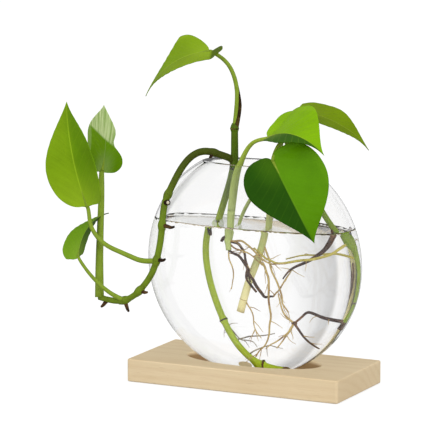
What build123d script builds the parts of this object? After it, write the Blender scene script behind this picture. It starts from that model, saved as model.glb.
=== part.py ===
"""Propagation vase: a flattened round glass in a wooden block, holding four leafy cuttings.

Millimetres. +Z is up, +X runs along the block, and -Y faces the viewer. The origin is the middle
of the block's underside.
"""

import os
from math import radians, sqrt, tan

from build123d import *

os.makedirs("parts", exist_ok=True)

# Wooden block
BASE_LENGTH = 132.0
BASE_DEPTH = 61.0
BASE_HEIGHT = 13.2
BASE_CORNER = 1.6
BASE_EDGE = 0.9
RECESS_LENGTH = 83.0
RECESS_WIDTH = 36.0
RECESS_DEPTH = 8.4
RECESS_EDGE = 0.6

# Glass
VASE_DIAMETER = 130.0
VASE_DEPTH = 47.0
EDGE_RADIUS = 15.0
FLAT_BAND = 3.0
WALL = 2.5
MOUTH_SHARE = 0.877
LIP_ROUND = 0.9
SEAT_GAP = 0.2

# Stems, roots and stubs of the cuttings: diameters
STEM = 3.8
SHOOT = 4.4
STALK = 2.6
BOWED_STEM = 3.4
FRONT_STEM = 3.4
FRONT_STALK = 3.2
BACK_STEM = 4.0
AERIAL_ROOT = 2.2
ROOT = 1.5
FINE_ROOT = 0.9
STUB = 2.2
MIDRIB = 1.5

# Other sizes of the cuttings
BLADE = 0.8
SHEATH = 0.5
SHEATH_GAP = 0.15
SHEATH_HEIGHT = 15.0
SHEATH_SLANT_FROM = 13.0
STUB_ROOT = 1.0
STUB_TAPER = 6.0
SWELLING = 1.2
ARC_SHARE = 0.45

# Derived sizes of the glass
VASE_RADIUS = VASE_DIAMETER / 2
HALF_DEPTH = VASE_DEPTH / 2
VASE_CENTRE = BASE_HEIGHT - RECESS_DEPTH + SEAT_GAP + VASE_RADIUS
MOUTH_Z = VASE_CENTRE + MOUTH_SHARE * VASE_RADIUS

# The cuttings are laid out in a glass of 125 mm bore and 42 mm clear depth, and grow with the glass.
DRAWN_BORE = 125.0
DRAWN_CLEAR_DEPTH = 42.0
SPREAD = (VASE_DIAMETER - 2 * WALL) / DRAWN_BORE
DEPTH_SPREAD = (VASE_DEPTH - 2 * WALL) / DRAWN_CLEAR_DEPTH


def spot(x, y, z):
    """Point of a cutting, measured from the middle of the drawn glass and scaled to this one."""
    return Vector(x * SPREAD, y * DEPTH_SPREAD, VASE_CENTRE + z * SPREAD)


def route(*points):
    """List of such points, one for each (x, y, z)."""
    return [spot(*point) for point in points]


def middle(points, index):
    """Middle of one run of a route, where the stem's axis lies on the run."""
    return (points[index] + points[index + 1]) / 2


def tube(points, diameter):
    """Round stem along straight runs, joined by the largest arcs that the runs leave room for."""
    radii = []
    for before, corner, after in zip(points, points[1:], points[2:]):
        run_in = corner - before
        run_out = after - corner
        turn = run_in.get_angle(run_out)
        radii.append(ARC_SHARE * min(run_in.length, run_out.length) / tan(radians(turn / 2)))
    with BuildPart() as stem:
        with BuildLine() as path:
            if radii:
                FilletPolyline(*points, radius=radii)
            else:
                Line(*points)
        with BuildSketch(Plane(origin=path.line @ 0, z_dir=path.line % 0)):
            Circle(diameter / 2)
        sweep()
    return stem.part


def stub(point, aim, length):
    """Short tapered root stub that points along aim."""
    root = point + Vector(aim).normalized() * STUB_ROOT
    with BuildPart() as cone:
        with BuildSketch(Plane(origin=root, z_dir=aim)):
            Circle(STUB / 2)
        extrude(amount=length * SPREAD, taper=STUB_TAPER)
    return cone.part


def drum(radius, half_depth, edge, band):
    """Flattened round body about the Y axis: two shallow domes, a rounded edge and a flat band."""
    edge_centre = radius - edge
    crown = half_depth - band
    dome = (edge_centre**2 + crown**2 - edge**2) / (2 * (crown - edge))
    dome_centre = half_depth - dome
    lean = (Vector(edge_centre, band) - Vector(0, dome_centre)).normalized()
    join = Vector(0, dome_centre) + lean * dome
    with BuildPart() as body:
        with BuildSketch(Plane.XY):
            with BuildLine():
                face = TangentArc((0, half_depth), join, tangent=(1, 0))
                edge_arc = TangentArc(face @ 1, (radius, band), tangent=face % 1)
                Line(edge_arc @ 1, (radius, 0))
                Line((radius, 0), (0, 0))
                Line((0, 0), (0, half_depth))
            make_face()
        revolve(axis=Axis.Y)
        mirror(about=Plane.XZ)
    return body.part.moved(Location((0, 0, VASE_CENTRE)))


class Leaf:
    """Heart-shaped blade, arched from its base to its tip and cupped about its midrib."""

    LOBE_OUT = 0.3
    SHEET_SPAN = 0.6
    FOLD_SAG = 0.4
    CORE_SHARE = 0.9
    RIB_SHARE = 0.9

    def __init__(self, base, tip, facing, width, arch, cup, widest_at, lobe_back):
        self.length = (tip - base).length
        self.width = width * SPREAD
        self.widest = (0.5 * self.width, widest_at * self.length)
        self.lobe = (self.LOBE_OUT * self.width, -lobe_back * self.length)
        self.arch = arch * SPREAD
        self.cup = cup * SPREAD
        along = (tip - base).normalized()
        across = along.cross(Vector(facing)).normalized()
        self.frame = Plane(origin=base, x_dir=across, z_dir=across.cross(along))
        self.radius = (self.length**2 / 4 + self.arch**2) / (2 * self.arch)

    def crest(self, share):
        """Point on the middle line of the blade, at a share of its length."""
        offset = (share - 0.5) * self.length
        rise = sqrt(self.radius**2 - offset**2) - self.radius + self.arch
        return self.frame.from_local_coords(Vector(0, share * self.length, rise))

    def blade(self):
        """Outline of the leaf, cut from an arched sheet with a fold along the midrib."""
        span = self.SHEET_SPAN * self.width
        sag = self.FOLD_SAG * self.cup
        top = self.crest(0.5)
        fold = Plane(origin=top, x_dir=self.frame.x_dir, z_dir=-self.frame.y_dir)
        hub = Axis(top - self.frame.z_dir * self.radius, self.frame.x_dir)
        with BuildPart() as sheet:
            with BuildSketch(self.frame) as heart:
                with BuildLine():
                    TangentArc(self.widest, (0, self.length), tangent=(0, 1))
                    outer = TangentArc(self.widest, self.lobe, tangent=(0, -1))
                    TangentArc(self.lobe, (0, 0), tangent=outer % 1)
                    mirror(about=Plane.YZ)
                make_face()
            extrude(amount=self.arch + self.cup + BLADE)
            extrude(heart.sketch, amount=self.CORE_SHARE * (self.arch - self.radius))
            with BuildSketch(fold):
                with BuildLine():
                    under = ThreePointArc((0, 0), (span / 2, sag), (span, self.cup))
                    over = ThreePointArc((0, BLADE), (span / 2, sag + BLADE), (span, self.cup + BLADE))
                    Line(under @ 1, over @ 1)
                    mirror(about=Plane.YZ)
                make_face()
            revolve(axis=hub, mode=Mode.INTERSECT)
        return sheet.part

    def midrib(self):
        """Rounded rib under the blade, from the stalk to near the tip."""
        end = self.RIB_SHARE
        with BuildPart() as rib:
            with BuildLine() as path:
                ThreePointArc(self.crest(0), self.crest(end / 2), self.crest(end))
            with BuildSketch(Plane(origin=path.line @ 0, z_dir=path.line % 0)):
                Circle(MIDRIB / 2)
            sweep()
        return rib.part


# Wooden block with its oval recess
with BuildPart() as wooden_base:
    with BuildSketch():
        RectangleRounded(BASE_LENGTH, BASE_DEPTH, BASE_CORNER)
    extrude(amount=BASE_HEIGHT)
    fillet(wooden_base.faces().filter_by(Axis.Z).edges(), radius=BASE_EDGE)
    with BuildSketch(Plane.XY.offset(BASE_HEIGHT)):
        Ellipse(RECESS_LENGTH / 2, RECESS_WIDTH / 2)
    extrude(amount=-RECESS_DEPTH, mode=Mode.SUBTRACT)
    rim = wooden_base.faces().filter_by(Axis.Z).sort_by(Axis.Z)[-1].inner_wires()[0]
    chamfer(rim.edges(), length=RECESS_EDGE)
wooden_base.part.label = "wooden_base"

# Blown glass: an even wall, cut level at the mouth, with a rounded lip
with BuildPart() as glass_vase:
    half_band = FLAT_BAND / 2
    add(drum(VASE_RADIUS, HALF_DEPTH, EDGE_RADIUS, half_band))
    add(drum(VASE_RADIUS - WALL, HALF_DEPTH - WALL, EDGE_RADIUS - WALL, half_band), mode=Mode.SUBTRACT)
    split(bisect_by=Plane.XY.offset(MOUTH_Z), keep=Keep.BOTTOM)
    fillet(glass_vase.faces().sort_by(Axis.Z)[-1].edges(), radius=LIP_ROUND)
glass_vase.part.label = "glass_vase"

# Trailing stem: lies on the floor, climbs to the mouth, crosses the rim and hangs down the left side
fork = spot(-15.5, 6.5, 56.5)
shoot_top = spot(-15.8, 7, 75)
inner_route = route(
    (19, 5, -56.6), (10.5, 6, -57.6), (0.5, 7.5, -56.5), (-9, 9, -49.5), (-16, 10, -40.3), (-22.5, 11, -28),
    (-28.5, 12, -12), (-31, 12, 4), (-28.5, 11.5, 18), (-23.5, 10.5, 32), (-18, 8.3, 46),
)
outer_route = route(
    (-21.5, 3, 59.3), (-30, -1.5, 62.3), (-36.5, -5, 59.8), (-41.2, -9.5, 53), (-44.6, -16, 42),
    (-46.9, -19.5, 34), (-47.1, -21.8, 26), (-47.2, -23.2, 15.6), (-48.5, -24, 6), (-51.2, -24.5, -4.6),
    (-56.3, -25.2, -13.3), (-64.5, -25.7, -22), (-75.3, -25.2, -25.9), (-87, -23.7, -24),
)
rim_node = middle(outer_route, 0)
shoulder_node = middle(outer_route, 4)
glass_node = middle(outer_route, 6)
large_node = middle(outer_route, 8)
lower_node = middle(outer_route, 10)
small_node = middle(outer_route, 11)
last_node = middle(outer_route, 12)
growing_end = outer_route[-1]
with BuildPart() as trailing_stem:
    add(tube(inner_route + [fork] + outer_route, STEM))
    add(tube([fork, shoot_top], SHOOT))
    with Locations(shoulder_node, glass_node, large_node, lower_node):
        Sphere(SWELLING * STEM / 2)
trailing_stem.part.label = "trailing_stem"

# Dry root stubs at the nodes of the trailing stem
with BuildPart() as trailing_stubs:
    add(stub(rim_node, aim=(-0.2, -0.7, -0.45), length=3.4))
    add(stub(glass_node, aim=(1, -0.3, -0.1), length=6))
    add(stub(large_node, aim=(1, -0.3, 0.1), length=5))
    add(stub(lower_node, aim=(1, -0.2, -0.2), length=4))
    add(stub(small_node, aim=(0.4, -0.1, -1), length=5))
    add(stub(last_node, aim=(-0.1, 0, -1), length=5))
    add(trailing_stem.part, mode=Mode.SUBTRACT)
trailing_stubs.part.label = "trailing_stubs"

# Fine roots on the low part of the trailing stem
upper_root = [middle(inner_route, 3)] + route((-4, 10.5, -42), (4, 9.5, -41), (12, 8.5, -39))
lower_root = [middle(inner_route, 2)] + route((1, 10, -49), (8, 11, -46), (14, 10, -47))
with BuildPart() as trailing_roots:
    add(tube(upper_root, FINE_ROOT))
    add(tube(lower_root, FINE_ROOT))
    add(trailing_stem.part, mode=Mode.SUBTRACT)
trailing_roots.part.label = "trailing_roots"

# Leaves of the trailing cutting, each with its stalk
upright = Leaf(
    spot(-27, 4, 117), spot(-68.8, 0, 90.2), facing=(-0.5, -0.35, 0.8),
    width=35, arch=7, cup=8, widest_at=0.26, lobe_back=-0.02,
)
upright_stalk = route((-15.6, 7, 91), (-17, 6.4, 103), (-19.5, 5.6, 110.5))
with BuildPart() as upright_leaf:
    add(upright.blade())
    add(upright.midrib())
    add(tube([shoot_top] + upright_stalk + [upright.crest(0)], STALK))
    add(trailing_stem.part, mode=Mode.SUBTRACT)
upright_leaf.part.label = "upright_leaf"

large = Leaf(
    spot(-92.2, -28, 28.5), spot(-105.3, -28, 88.7), facing=(-0.07, -0.96, 0.2),
    width=39, arch=5, cup=10, widest_at=0.4, lobe_back=-0.03,
)
large_stalk = route((-57, -26, -0.8), (-68, -27.3, 3.2), (-82, -28.3, 8), (-89.8, -29, 17))
with BuildPart() as large_side_leaf:
    add(large.blade())
    add(large.midrib())
    add(tube([large_node] + large_stalk + [large.crest(0)], STALK))
    add(trailing_stem.part, mode=Mode.SUBTRACT)
large_side_leaf.part.label = "large_side_leaf"

rear = Leaf(
    spot(-93.2, -8, 47), spot(-93.8, -4, 84.4), facing=(0.75, -0.6, 0.1),
    width=22, arch=4, cup=5, widest_at=0.16, lobe_back=0.03,
)
rear_stalk = route((-88.5, -21, -8), (-90, -17, 10), (-91.5, -12, 34))
with BuildPart() as rear_side_leaf:
    add(rear.blade())
    add(rear.midrib())
    add(tube([growing_end] + rear_stalk + [rear.crest(0)], STALK))
    add(trailing_stem.part, mode=Mode.SUBTRACT)
rear_side_leaf.part.label = "rear_side_leaf"

small = Leaf(
    spot(-94.8, -34.7, 1), spot(-77, -36, 27.3), facing=(-0.7, -0.35, 0.55),
    width=19, arch=9, cup=2, widest_at=0.4, lobe_back=-0.04,
)
small_stalk = route((-74, -28.5, -21.7), (-80.5, -31.5, -16.5), (-87.5, -33.7, -9.5))
with BuildPart() as small_side_leaf:
    add(small.blade())
    add(small.midrib())
    add(tube([small_node] + small_stalk + [small.crest(0)], STALK))
    add(trailing_stem.part, mode=Mode.SUBTRACT)
small_side_leaf.part.label = "small_side_leaf"

# Dry sheath that stands on the shoot and clasps the right side of the leaf stalk
slant_from = shoot_top + Vector(0, 0, SHEATH_SLANT_FROM * SPREAD)
with BuildPart() as upright_sheath:
    with BuildSketch(Plane(origin=shoot_top)):
        Circle(STALK / 2 + SHEATH_GAP + SHEATH)
        Circle(STALK / 2 + SHEATH_GAP, mode=Mode.SUBTRACT)
        Rectangle(SHOOT, 2 * SHOOT, align=(Align.MAX, Align.CENTER), mode=Mode.SUBTRACT)
    extrude(amount=SHEATH_HEIGHT * SPREAD)
    split(bisect_by=Plane(origin=slant_from, z_dir=(-1, 0, 0.35)), keep=Keep.BOTTOM)
    add(upright_leaf.part, mode=Mode.SUBTRACT)
    add(trailing_stem.part, mode=Mode.SUBTRACT)
upright_sheath.part.label = "upright_sheath"

# Bowed cutting: its stem lies along the right wall, and its leaf hangs in front of the glass
bowed_route = route(
    (49.5, 3, -33), (55.6, 4.5, -24), (58.9, 5, -13), (59.9, 5, 0), (57.5, 4.5, 10.5), (51.5, 3.5, 18.5),
    (44.6, 2.8, 26.5), (38.2, 2.4, 36.5), (30.5, 2, 46), (23.3, 1.7, 54.5), (21, 1, 64),
)
with BuildPart() as bowed_stem:
    add(tube(bowed_route, BOWED_STEM))
bowed_stem.part.label = "bowed_stem"

hanging = Leaf(
    spot(24.9, -28, 63.7), spot(51.8, -31, 20), facing=(0.38, -0.9, 0.2),
    width=44, arch=5, cup=4, widest_at=0.22, lobe_back=0.04,
)
hanging_stalk = route((23, -5.5, 71.5), (25.5, -15, 74), (25.5, -23, 71.5))
with BuildPart() as hanging_leaf:
    add(hanging.blade())
    add(hanging.midrib())
    add(tube([bowed_route[-1]] + hanging_stalk + [hanging.crest(0)], STALK))
    add(bowed_stem.part, mode=Mode.SUBTRACT)
hanging_leaf.part.label = "hanging_leaf"

knot = spot(28, -3, -31)
front_root = [middle(bowed_route, 5)] + route((45.5, 0, 11.5), (38, -3, 5.5), (29, -6, 1), (22.5, -6.5, -6))
level_root = [middle(bowed_route, 3)] + route((47, 6.5, 8), (37, 7, 6.5), (27, 7.8, 5.5), (19, 7.5, 3))
with BuildPart() as bowed_roots:
    add(tube(front_root, ROOT))
    add(tube(level_root, FINE_ROOT))
    add(tube([middle(bowed_route, 0)] + route((43, 1, -27), (35, -1, -24)) + [knot], ROOT))
    add(tube([knot] + route((21.5, -4, -25), (19, -4.5, -15)), ROOT))
    add(tube([knot] + route((23, -4, -39), (18, -5, -46)), FINE_ROOT))
    add(tube([knot] + route((34.5, -3, -39.5), (41, -2.5, -44)), ROOT))
    add(bowed_stem.part, mode=Mode.SUBTRACT)
bowed_roots.part.label = "bowed_roots"

# Front cutting: a short stem in the water and one leaf that arches over the mouth
front_route = route((-9.5, -8.8, 8), (-10.8, -9, 18), (-9.6, -9, 30))
with BuildPart() as front_stem:
    add(tube(front_route, FRONT_STEM))
front_stem.part.label = "front_stem"

front = Leaf(
    spot(12.9, -17, 75), spot(56.1, -28, 69.6), facing=(0.25, -0.55, 0.8),
    width=38, arch=8, cup=9, widest_at=0.43, lobe_back=0,
)
front_stalk = route((-8.2, -9.2, 42), (-5.4, -10.5, 53), (-2.2, -10.8, 61), (1.7, -11.7, 67.5), (7, -13.8, 72))
with BuildPart() as front_leaf:
    add(front.blade())
    add(front.midrib())
    add(tube([front_route[-1]] + front_stalk + [front.crest(0)], FRONT_STALK))
    add(front_stem.part, mode=Mode.SUBTRACT)
front_leaf.part.label = "front_leaf"

front_node = middle(front_route, 0)
with BuildPart() as front_roots:
    add(tube([front_node] + route((-4, -8, 12), (0, -7.8, 7), (2, -7.8, -1), (3.5, -8, -9)), ROOT))
    add(tube([front_node] + route((-5, -9.7, 9), (4, -9.8, 7), (11.5, -9.8, 1)), FINE_ROOT))
    add(tube([front_route[0]] + route((-9, -8.7, 2), (-6.5, -8.4, -6), (-8, -8.2, -14)), FINE_ROOT))
    add(front_stem.part, mode=Mode.SUBTRACT)
front_roots.part.label = "front_roots"

# Back cutting: a pale cut stem in the water, one leaf, and an aerial root down into the water
back_route = route(
    (-4, -4.2, -27), (0.5, -3.5, -10), (4, -2.8, -2), (7.5, -2, 8), (9.8, -1.2, 18), (10.4, -1, 27),
    (10.6, -0.9, 36),
)
with BuildPart() as back_stem:
    add(tube(back_route, BACK_STEM))
back_stem.part.label = "back_stem"

back = Leaf(
    spot(24, 9, 87), spot(66, 12, 68.6), facing=(0.3, -0.3, 0.9),
    width=20, arch=5, cup=4, widest_at=0.35, lobe_back=0.03,
)
back_stalk = [back_route[-1]] + route((10.2, 4.2, 47), (9.8, 11.1, 57), (11.4, 12.2, 70), (16.6, 11.2, 81))
with BuildPart() as back_leaf:
    add(back.blade())
    add(back.midrib())
    add(tube(back_stalk + [back.crest(0)], STALK))
    add(back_stem.part, mode=Mode.SUBTRACT)
back_leaf.part.label = "back_leaf"

aerial_route = route((5, 4.4, 47), (-1, 2.6, 39), (-6.5, 2.2, 30), (-10.5, 2, 20.5), (-12, 1.5, 11))
with BuildPart() as back_aerial_root:
    add(tube([middle(back_stalk, 1)] + aerial_route, AERIAL_ROOT))
    add(back_leaf.part, mode=Mode.SUBTRACT)
back_aerial_root.part.label = "back_aerial_root"

long_root = route(
    (10.5, -3.5, 0), (13, -4, -6), (13, -4.2, -18), (14.5, -3.6, -28), (13, -3, -38), (9.5, -2.5, -46),
    (4, -2, -52.5),
)
with BuildPart() as back_roots:
    add(tube([middle(back_route, 1)] + route((6, -2.5, -13), (10, -2, -18), (15, -1.5, -17)), ROOT))
    add(tube([middle(back_route, 2)] + long_root, FINE_ROOT))
    add(tube([middle(back_route, 0)] + route((2.5, -4.5, -25), (4, -4.4, -34), (8.5, -4, -41)), FINE_ROOT))
    add(back_stem.part, mode=Mode.SUBTRACT)
back_roots.part.label = "back_roots"

pieces = (
    wooden_base, glass_vase, trailing_stem, trailing_stubs, trailing_roots, upright_leaf, upright_sheath,
    large_side_leaf, rear_side_leaf, small_side_leaf, bowed_stem, hanging_leaf, bowed_roots, front_stem,
    front_leaf, front_roots, back_stem, back_leaf, back_aerial_root, back_roots,
)
for piece in pieces:
    export_step(piece.part, f"parts/{piece.part.label}.step")
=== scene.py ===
"""Looks of the propagation vase: a flattened round glass of water in a wooden block, with leafy cuttings.

Every length in the classes is in millimetres and is turned into metres where a mesh is made. Points of the
cuttings are measured from the middle of the glass.
"""

import logging
import math
import random
from dataclasses import dataclass, field
from enum import Enum
from typing import Any, Sequence, Union

import bmesh
import bpy
from mathutils import Matrix, Vector


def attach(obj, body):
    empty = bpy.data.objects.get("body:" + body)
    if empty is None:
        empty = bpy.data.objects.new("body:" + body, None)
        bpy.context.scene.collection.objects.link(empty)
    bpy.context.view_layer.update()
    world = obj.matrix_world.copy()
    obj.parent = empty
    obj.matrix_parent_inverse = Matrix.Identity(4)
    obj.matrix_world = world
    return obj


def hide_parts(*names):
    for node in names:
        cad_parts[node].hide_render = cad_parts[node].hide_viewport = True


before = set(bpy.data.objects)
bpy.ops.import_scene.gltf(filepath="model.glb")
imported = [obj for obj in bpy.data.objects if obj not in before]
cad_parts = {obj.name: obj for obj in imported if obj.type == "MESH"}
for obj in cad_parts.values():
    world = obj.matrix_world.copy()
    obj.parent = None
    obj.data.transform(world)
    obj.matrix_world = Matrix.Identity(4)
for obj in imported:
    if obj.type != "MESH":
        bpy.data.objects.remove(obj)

LOG = logging.getLogger("propagation_vase")
MM = 0.001
GLASS_CENTRE_Z = 70.0
WATER_LEVEL = 21.0
UP = Vector((0.0, 0.0, MM))

# Distances within which vertices are merged, in metres
WELD = 2e-6
FINE_WELD = 1e-6
CUT_WELD = 1e-7

# Roundness of the tubes
STEM_SIDES = 4
ROOT_SIDES = 3
FINE_SIDES = 2

# Fine side roots: runs of their lines, and widths in millimetres
ROOTLET_RUNS = 3
ROOTLET_WIDTHS = (0.55, 0.4, 0.22)

# Leaf map and veins, in shares of the blade
MAP_FOOT = 0.2
VEIN_PAIRS = 9.0
VEIN_SWEEP = 0.84
VEIN_CURVE = 0.48

Colour = tuple[float, float, float]
Point = tuple[float, float, float]
WHITE: Colour = (1.0, 1.0, 1.0)


class Body(Enum):
    """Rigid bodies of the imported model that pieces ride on."""

    VASE = "vase"
    FRONT = "front_cutting"
    BACK = "back_cutting"


class Slot(Enum):
    """Material slots of the record that pieces use."""

    GLASS = "glass"
    STEM = "stem"
    LEAF = "leaf"
    ROOT = "root"
    DRY = "dry_stub"


def spot(x: float, y: float, z: float) -> Vector:
    """Point in metres, from millimetres measured from the middle of the glass."""
    return Vector((x, y, z + GLASS_CENTRE_Z)) * MM


def route(*points: Point) -> list[Vector]:
    """List of such points, one for each (x, y, z)."""
    return [spot(*point) for point in points]


def halfway(points: Sequence[Vector], index: int) -> Vector:
    """Middle of one run of a route."""
    return (points[index] + points[index + 1]) / 2


def shade(red: int, green: int, blue: int) -> Colour:
    """Linear colour from sRGB levels between 0 and 255."""
    levels = (level / 255.0 for level in (red, green, blue))
    return tuple(level / 12.92 if level <= 0.04045 else ((level + 0.055) / 1.055) ** 2.4 for level in levels)


def darker(colour: Colour, share: float) -> Colour:
    """The colour at a share of its brightness."""
    return tuple(part * share for part in colour)


class Value:
    """A shader socket whose maths is written as Python expressions."""

    def __init__(self, shader: "Shader", socket: bpy.types.NodeSocket) -> None:
        """Wrap an output socket of a shader's node tree."""
        self.shader = shader
        self.socket = socket

    def maths(self, operation: str, *others: "Number") -> "Value":
        """Result of a Math node on this value and up to two others."""
        inputs = dict(enumerate((self, *others)))
        return self.shader.add("ShaderNodeMath", {"operation": operation}, inputs)

    def __add__(self, other: "Number") -> "Value":
        """Sum."""
        return self.maths("ADD", other)

    def __sub__(self, other: "Number") -> "Value":
        """Difference."""
        return self.maths("SUBTRACT", other)

    def __rsub__(self, other: float) -> "Value":
        """Difference from a plain number."""
        return self.shader.add("ShaderNodeMath", {"operation": "SUBTRACT"}, {0: other, 1: self})

    def __mul__(self, other: "Number") -> "Value":
        """Product."""
        return self.maths("MULTIPLY", other)

    def __abs__(self) -> "Value":
        """Size without sign."""
        return self.maths("ABSOLUTE")

    def ease(self, low: float, high: float, start: float = 0.0, end: float = 1.0) -> "Value":
        """Smooth step of this value, from start at low to end at high."""
        inputs = {"Value": self, "From Min": low, "From Max": high, "To Min": start, "To Max": end}
        return self.shader.add("ShaderNodeMapRange", {"interpolation_type": "SMOOTHSTEP"}, inputs)


Number = Union[float, Value]


class Shader:
    """Builds the node tree of one material or of the world."""

    def __init__(self, tree: bpy.types.NodeTree) -> None:
        """Empty a node tree, to fill it."""
        self.tree = tree
        tree.nodes.clear()

    def add(
        self,
        kind: str,
        settings: dict[str, Any] | None = None,
        inputs: dict[Any, Any] | None = None,
        output: str | int = 0,
    ) -> Value:
        """Add a node.

        Args:
            kind: the node's type.
            settings: its own settings.
            inputs: values or links of its sockets, by name or index.
            output: name or index of the socket that is wanted.

        Returns:
            That output.
        """
        node = self.tree.nodes.new(kind)
        for name, value in (settings or {}).items():
            setattr(node, name, value)
        for key, value in (inputs or {}).items():
            socket = node.inputs[key]
            if isinstance(value, Value):
                self.tree.links.new(value.socket, socket)
            elif isinstance(value, tuple) and socket.type == "RGBA":
                socket.default_value = (*value, 1.0)
            else:
                socket.default_value = value
        return Value(self, node.outputs[output])

    def blend(self, factor: Number, first: Any, second: Any) -> Value:
        """Mix of two colours."""
        return self.add("ShaderNodeMix", {"data_type": "RGBA"}, {0: factor, 6: first, 7: second}, 2)

    def place(self, scale: Point = (1.0, 1.0, 1.0), shift: Point = (0.0, 0.0, 0.0)) -> Value:
        """Object coordinates in millimetres, stretched and moved.

        Args:
            scale: factor on each axis.
            shift: offset on each axis.

        Returns:
            The coordinates as a vector.
        """
        whole = self.add("ShaderNodeTexCoord", output="Object")
        scaled = tuple(1000.0 * factor for factor in scale)
        return self.add("ShaderNodeMapping", inputs={"Vector": whole, "Scale": scaled, "Location": shift})

    def noise(self, vector: Value, scale: float, detail: float = 3.0, rough: float = 0.5) -> Value:
        """Smooth noise from 0 to 1, with finer waves on top."""
        inputs = {"Vector": vector, "Scale": scale, "Detail": detail, "Roughness": rough}
        return self.add("ShaderNodeTexNoise", None, inputs)

    def parts(self, vector: Value) -> tuple[Value, Value, Value]:
        """The X, Y and Z of a vector."""
        node = self.add("ShaderNodeSeparateXYZ", inputs={0: vector}).socket.node
        return tuple(Value(self, socket) for socket in node.outputs)

    def bump(self, height: Value, strength: float, depth: float) -> Value:
        """Normal bent by a height from 0 to 1, whose real depth is in metres."""
        return self.add("ShaderNodeBump", None, {"Strength": strength, "Distance": depth, "Height": height})

    def finish(self, surface: Value) -> None:
        """Send a shader to the output."""
        self.add_output("ShaderNodeOutputMaterial", surface)

    def coat(self, colour: Value, rough: Value, specular: float, normal: Value) -> None:
        """Send an opaque surface to the output."""
        inputs = {"Base Color": colour, "Roughness": rough, "Specular IOR Level": specular, "Normal": normal}
        self.finish(self.add("ShaderNodeBsdfPrincipled", None, inputs))

    def add_output(self, kind: str, surface: Value) -> None:
        """Add an output node and link a shader to its surface."""
        node = self.tree.nodes.new(kind)
        self.tree.links.new(surface.socket, node.inputs["Surface"])


def new_material(name: str) -> tuple[bpy.types.Material, Shader]:
    """A material with an empty node tree.

    Args:
        name: the finish's name.

    Returns:
        The material and its shader builder.
    """
    material = bpy.data.materials.new(name)
    material.use_nodes = True
    return material, Shader(material.node_tree)


@dataclass(frozen=True)
class LeafFinish:
    """Waxy leaf: one green for each half of the blade, the darker of them painted shade of the fold, faint
    veins, a paler rib and, where asked, painted shade on the lobes.
    """

    name: str
    # plus and minus: greens of the two halves; the darker of them is painted shade where that half turns from
    # the light
    plus: Colour
    minus: Colour
    vein: Colour
    gloss: float = 0.4
    veins: float = 0.12
    streaks: float = 0.0
    glow: float = 0.15
    lit_shaded_blend: float = 0.02
    # share of painted shade on the lobes behind the stalk's joint
    lobe_shade: float = 0.0

    def make(self) -> bpy.types.Material:
        """Make the look of the leaf on the blade's own map, with the stalk end at the bottom.

        Returns:
            The material.
        """
        material, s = new_material(self.name)
        across, along, _ = s.parts(s.add("ShaderNodeUVMap", {"uv_map": "blade"}))
        half = across.ease(0.5 - self.lit_shaded_blend, 0.5 + self.lit_shaded_blend)
        side = abs(across - 0.5) * 2.0
        spine = along * (1.0 + MAP_FOOT) - MAP_FOOT
        path = spine - side * (VEIN_SWEEP / 2) + side * side * (VEIN_CURVE / 4)
        wave = abs((path * VEIN_PAIRS).maths("FRACT") - 0.5) * 2.0
        veins = wave.ease(0.8, 1.0) * side.ease(0.02, 0.12) * side.ease(0.5, 0.95, 1.0, 0.0)
        rib = side.ease(0.012, 0.03, 1.0, 0.0) * spine.ease(0.6, 1.0, 1.0, 0.3)
        cells = s.noise(s.place(), 1.6, 4.0, 0.6)
        patches = s.noise(s.place(), 0.08, 3.0).ease(0.3, 0.7)
        # painted shade: each half gets its lit or its shaded green
        green = s.blend(half, self.minus, self.plus)
        deep = s.blend(half, darker(self.minus, 0.72), darker(self.plus, 0.72))
        green = s.blend(patches * 0.45, green, deep)
        green = s.blend(wave * 0.12, green, deep)
        green = s.blend(spine.ease(0.5, 1.0) * 0.3, green, deep)
        green = s.blend(spine.ease(-0.1, 0.5, self.glow, 0.0), green, self.vein)
        green = s.blend(spine.ease(0.0, 0.4, 0.22, 0.0) * side.ease(0.1, 0.7, 1.0, 0.0), green, self.vein)
        green = s.blend(veins * self.veins, green, self.vein)
        # painted shade: the lobes behind the stalk's joint go dark
        green = s.blend(spine.ease(-0.05, 0.0, self.lobe_shade, 0.0), green, darker(self.plus, 0.3))
        if self.streaks:
            lines = s.add("ShaderNodeCombineXYZ", None, {0: across * 16.0 - spine * 4.0, 1: spine * 1.5})
            stripes = s.noise(lines, 1.0, 2.0).ease(0.36, 0.6) * 0.6 + 0.35
            pale = (spine + (across - 0.5) * 0.45).ease(0.45, 0.5)
            green = s.blend(stripes * pale * self.streaks, green, self.vein)
        green = s.blend(rib * (0.55 - self.streaks * 0.4), green, self.vein)
        green = s.blend(side.ease(0.93, 1.0) * 0.2, green, self.vein)
        height = cells * 0.2 + wave * 0.55 - veins * 0.4 - rib * 0.7
        s.coat(green, cells * 0.14 + self.gloss, 0.1, s.bump(height, 0.3, 0.0004))
        return material


@dataclass(frozen=True)
class StemFinish:
    """Smooth stem: one green that turns to another from one height to the next, with dry flecks."""

    name: str
    lower: Colour
    upper: Colour
    fleck: Colour
    change_from: float = 0.0
    change_to: float = 1.0
    flecks: float = 0.35
    gloss: float = 0.42
    shine: float = 0.2

    def make(self) -> bpy.types.Material:
        """Make the look of the stem.

        Returns:
            The material.
        """
        material, s = new_material(self.name)
        _, _, height = s.parts(s.place())
        green = s.blend(height.ease(self.change_from, self.change_to), self.lower, self.upper)
        tone = s.noise(s.place(), 0.22, 3.0)
        green = s.blend(tone.ease(0.35, 0.75) * 0.3, green, self.fleck)
        spots = s.noise(s.place((1.0, 1.0, 0.55)), 0.9, 2.0).ease(0.64, 0.74) * self.flecks
        green = s.blend(spots, green, self.fleck)
        ridges = s.noise(s.place((2.2, 2.2, 0.16)), 1.1, 3.0)
        s.coat(green, tone * 0.15 + self.gloss, self.shine, s.bump(ridges, 0.3, 0.0003))
        return material


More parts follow.
